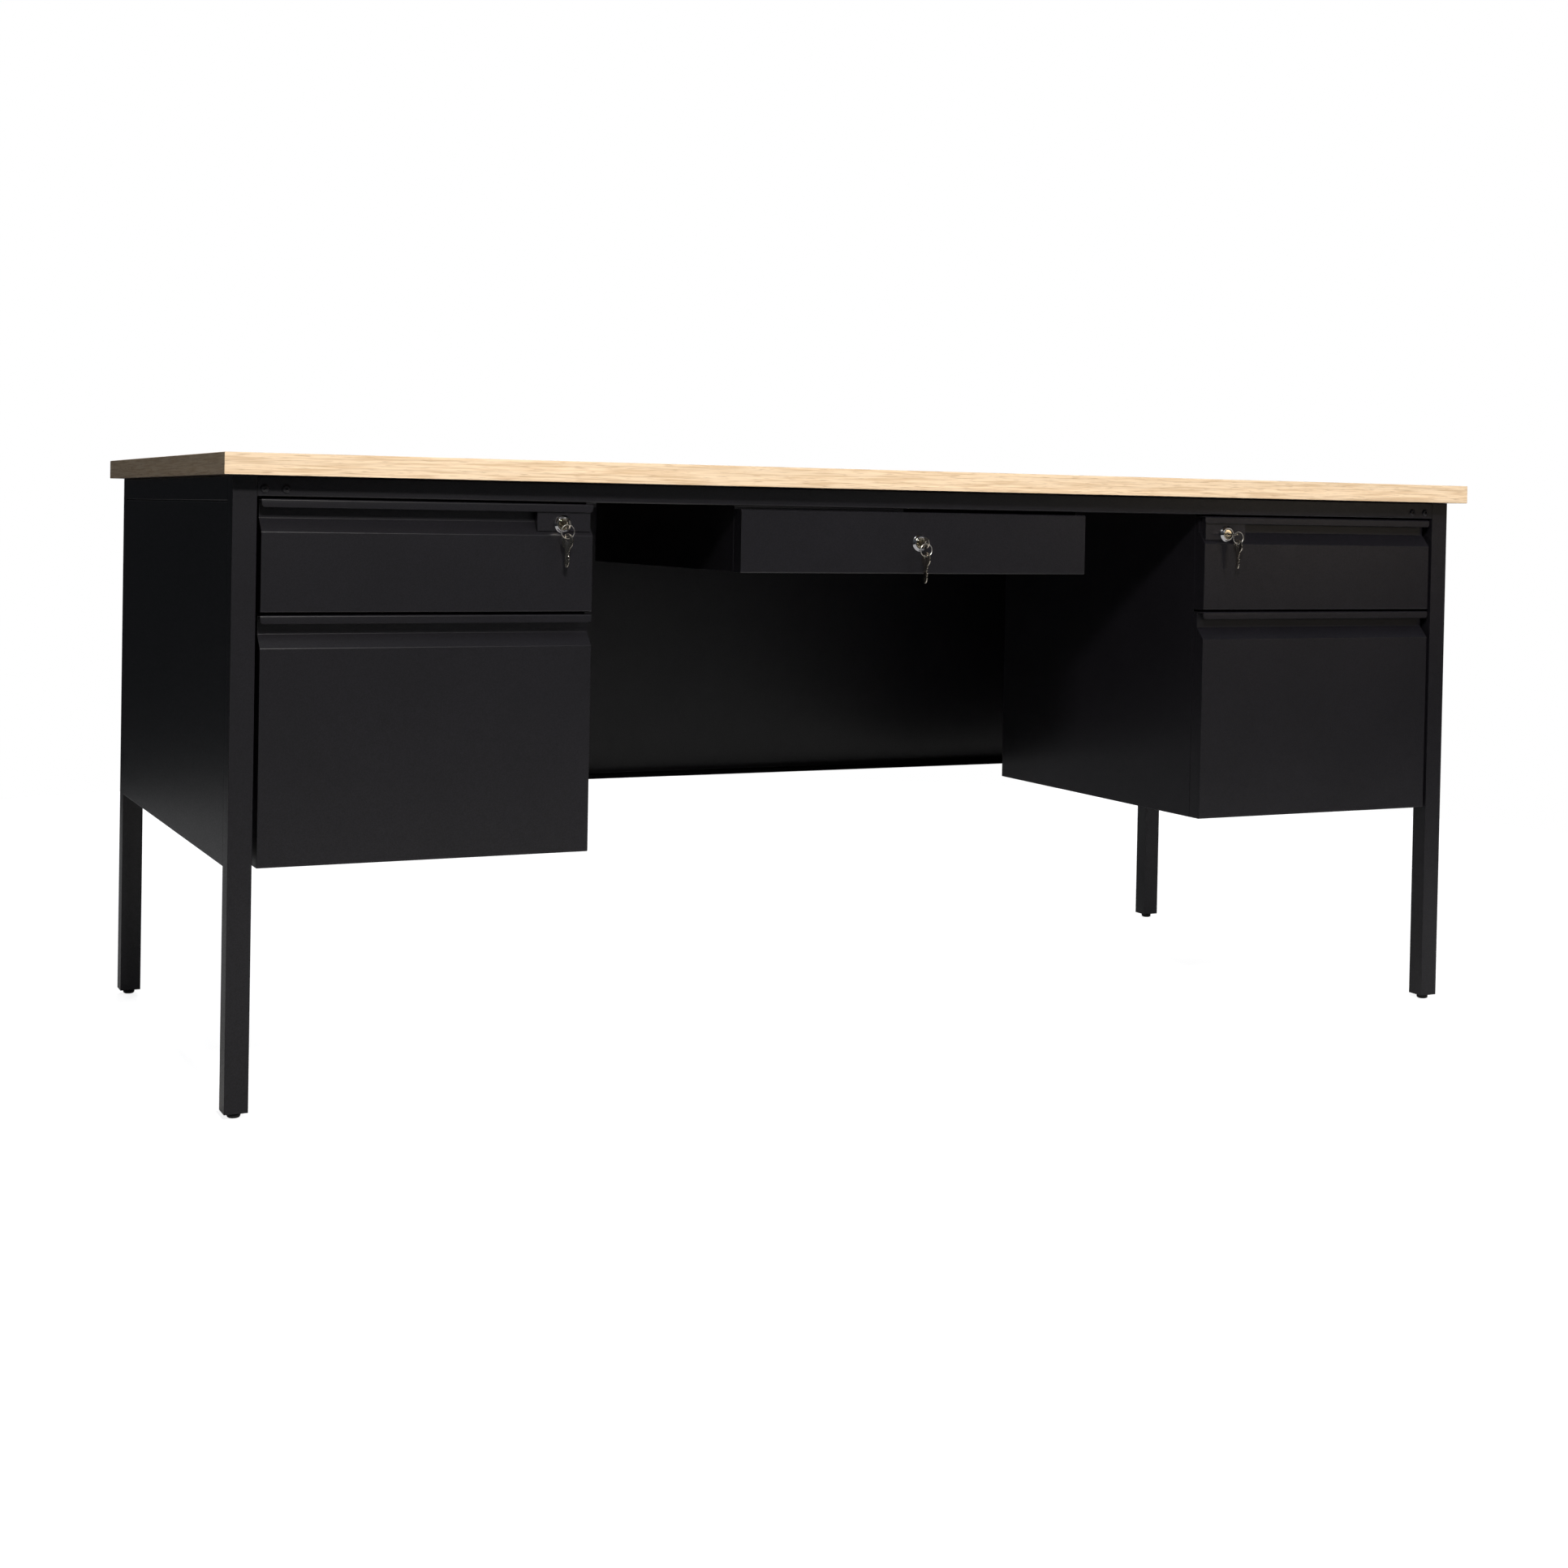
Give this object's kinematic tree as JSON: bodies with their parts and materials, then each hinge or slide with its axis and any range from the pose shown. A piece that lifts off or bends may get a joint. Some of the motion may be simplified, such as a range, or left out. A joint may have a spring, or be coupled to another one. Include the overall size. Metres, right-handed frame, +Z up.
{
  "type": "teacher desk",
  "caption": "Double pedestal teacher desk with a laminate top on a black steel frame, box and file drawers each side, a kneehole drawer, locks with keys, and levelling glides.",
  "frame": {"origin": "on the floor, under the middle of the top", "axes": "+Z up, -Y towards the user on the drawer side, +X to that user's right"},
  "size_m": [1.829, 0.762, 0.762],
  "materials": {
    "black_powdercoat": "satin black powder coat with a fine texture",
    "oak_laminate": "light oak laminate, satin",
    "oak_band": "light oak edge band, satin",
    "zinc_steel": "bright zinc plated",
    "chrome": "polished chrome",
    "nickel": "nickel plated",
    "lock_brass": "polished brass",
    "glide_plastic": "black nylon"
  },
  "bodies": {
    "frame": {"desktop": "oak_laminate", "drawer_hanger_left": "black_powdercoat", "drawer_hanger_right": "black_powdercoat", "edge_band": "oak_band", "end_panel_left": "black_powdercoat", "end_panel_right": "black_powdercoat", "front_rail": "black_powdercoat", "leg_front_left": "black_powdercoat", "leg_front_right": "black_powdercoat", "leg_rear_left": "black_powdercoat", "leg_rear_right": "black_powdercoat", "modesty_panel": "black_powdercoat", "pedestal_case_left": "black_powdercoat", "pedestal_case_right": "black_powdercoat", "rear_rail": "black_powdercoat", "side_rail_left": "black_powdercoat", "side_rail_right": "black_powdercoat", "slide_box_left_a": "zinc_steel", "slide_box_left_b": "zinc_steel", "slide_box_right_a": "zinc_steel", "slide_box_right_b": "zinc_steel", "slide_file_left_a": "zinc_steel", "slide_file_left_b": "zinc_steel", "slide_file_right_a": "zinc_steel", "slide_file_right_b": "zinc_steel"},
    "box_drawer_left": {"box_drawer_front_left": "black_powdercoat", "box_drawer_tray_left": "black_powdercoat", "lock_body_left": "chrome", "lock_plate_left": "black_powdercoat"},
    "file_drawer_left": {"file_drawer_front_left": "black_powdercoat", "file_drawer_tray_left": "black_powdercoat"},
    "mid_slides_left": {"mid_slide_file_left_a": "zinc_steel", "mid_slide_file_left_b": "zinc_steel"},
    "box_drawer_right": {"box_drawer_front_right": "black_powdercoat", "box_drawer_tray_right": "black_powdercoat", "lock_body_right": "chrome", "lock_plate_right": "black_powdercoat"},
    "file_drawer_right": {"file_drawer_front_right": "black_powdercoat", "file_drawer_tray_right": "black_powdercoat"},
    "mid_slides_right": {"mid_slide_file_right_a": "zinc_steel", "mid_slide_file_right_b": "zinc_steel"},
    "centre_drawer": {"centre_drawer_front": "black_powdercoat", "centre_drawer_tray": "black_powdercoat", "lock_body_centre": "chrome"},
    "lock_left": {"key_left": "nickel", "lock_cylinder_left": "lock_brass"},
    "ring_left": {"key_ring_left": "chrome"},
    "spare_left": {"spare_key_left": "nickel"},
    "lock_right": {"key_right": "nickel", "lock_cylinder_right": "lock_brass"},
    "ring_right": {"key_ring_right": "chrome"},
    "spare_right": {"spare_key_right": "nickel"},
    "lock_centre": {"key_centre": "nickel", "lock_cylinder_centre": "lock_brass"},
    "ring_centre": {"key_ring_centre": "chrome"},
    "spare_centre": {"spare_key_centre": "nickel"},
    "glide_front_left": {"glide_front_left": "glide_plastic"},
    "glide_front_right": {"glide_front_right": "glide_plastic"},
    "glide_rear_left": {"glide_rear_left": "glide_plastic"},
    "glide_rear_right": {"glide_rear_right": "glide_plastic"}
  },
  "joints": [
    {"name": "box_drawer_slide_left", "type": "slide", "parent": "frame", "child": "box_drawer_left", "axis": [0, -1, 0], "range_m": [0, 0.34]},
    {"name": "file_drawer_slide_left", "type": "slide", "parent": "frame", "child": "file_drawer_left", "axis": [0, -1, 0], "range_m": [0, 0.44]},
    {"name": "mid_slide_left", "type": "slide", "parent": "frame", "child": "mid_slides_left", "axis": [0, -1, 0], "range_m": [0, 0.22]},
    {"name": "box_drawer_slide_right", "type": "slide", "parent": "frame", "child": "box_drawer_right", "axis": [0, -1, 0], "range_m": [0, 0.34]},
    {"name": "file_drawer_slide_right", "type": "slide", "parent": "frame", "child": "file_drawer_right", "axis": [0, -1, 0], "range_m": [0, 0.44]},
    {"name": "mid_slide_right", "type": "slide", "parent": "frame", "child": "mid_slides_right", "axis": [0, -1, 0], "range_m": [0, 0.22]},
    {"name": "centre_drawer_slide", "type": "slide", "parent": "frame", "child": "centre_drawer", "axis": [0, -1, 0], "range_m": [0, 0.34]},
    {"name": "lock_turn_left", "type": "hinge", "parent": "box_drawer_left", "child": "lock_left", "pos_m": [-0.498, -0.3539, 0.686], "axis": [0, -1, 0], "range_deg": [0, 90]},
    {"name": "ring_swing_left", "type": "hinge", "parent": "box_drawer_left", "child": "ring_left", "pos_m": [-0.498, -0.3711, 0.686], "axis": [0, -1, 0], "range_deg": [0, 54]},
    {"name": "spare_hang_left", "type": "hinge", "parent": "ring_left", "child": "spare_left", "pos_m": [-0.498, -0.3711, 0.6771], "axis": [0, -1, 0], "range_deg": [-54, 0]},
    {"name": "lock_turn_right", "type": "hinge", "parent": "box_drawer_right", "child": "lock_right", "pos_m": [0.498, -0.3539, 0.686], "axis": [0, 1, 0], "range_deg": [0, 90]},
    {"name": "ring_swing_right", "type": "hinge", "parent": "box_drawer_right", "child": "ring_right", "pos_m": [0.498, -0.3711, 0.686], "axis": [0, 1, 0], "range_deg": [0, 54]},
    {"name": "spare_hang_right", "type": "hinge", "parent": "ring_right", "child": "spare_right", "pos_m": [0.50524, -0.3711, 0.68082], "axis": [0, 1, 0], "range_deg": [-54, 0]},
    {"name": "lock_turn_centre", "type": "hinge", "parent": "centre_drawer", "child": "lock_centre", "pos_m": [0, -0.3563, 0.66825], "axis": [0, -1, 0], "range_deg": [0, 90]},
    {"name": "ring_swing_centre", "type": "hinge", "parent": "centre_drawer", "child": "ring_centre", "pos_m": [0, -0.3735, 0.66825], "axis": [0, -1, 0], "range_deg": [0, 54]},
    {"name": "spare_hang_centre", "type": "hinge", "parent": "ring_centre", "child": "spare_centre", "pos_m": [0, -0.3735, 0.65935], "axis": [0, -1, 0], "range_deg": [-54, 0]},
    {"name": "glide_screw_front_left", "type": "slide", "parent": "frame", "child": "glide_front_left", "axis": [0, 0, -1], "range_m": [0, 0.01]},
    {"name": "glide_screw_front_right", "type": "slide", "parent": "frame", "child": "glide_front_right", "axis": [0, 0, -1], "range_m": [0, 0.01]},
    {"name": "glide_screw_rear_left", "type": "slide", "parent": "frame", "child": "glide_rear_left", "axis": [0, 0, -1], "range_m": [0, 0.01]},
    {"name": "glide_screw_rear_right", "type": "slide", "parent": "frame", "child": "glide_rear_right", "axis": [0, 0, -1], "range_m": [0, 0.01]}
  ],
  "couplings": [
    {"joint": "mid_slide_left", "follows": "file_drawer_slide_left", "ratio": 0.5},
    {"joint": "mid_slide_right", "follows": "file_drawer_slide_right", "ratio": 0.5},
    {"joint": "ring_swing_left", "follows": "lock_turn_left", "ratio": 0.6},
    {"joint": "spare_hang_left", "follows": "lock_turn_left", "ratio": -0.6},
    {"joint": "ring_swing_right", "follows": "lock_turn_right", "ratio": 0.6},
    {"joint": "spare_hang_right", "follows": "lock_turn_right", "ratio": -0.6},
    {"joint": "ring_swing_centre", "follows": "lock_turn_centre", "ratio": 0.6},
    {"joint": "spare_hang_centre", "follows": "lock_turn_centre", "ratio": -0.6}
  ]
}
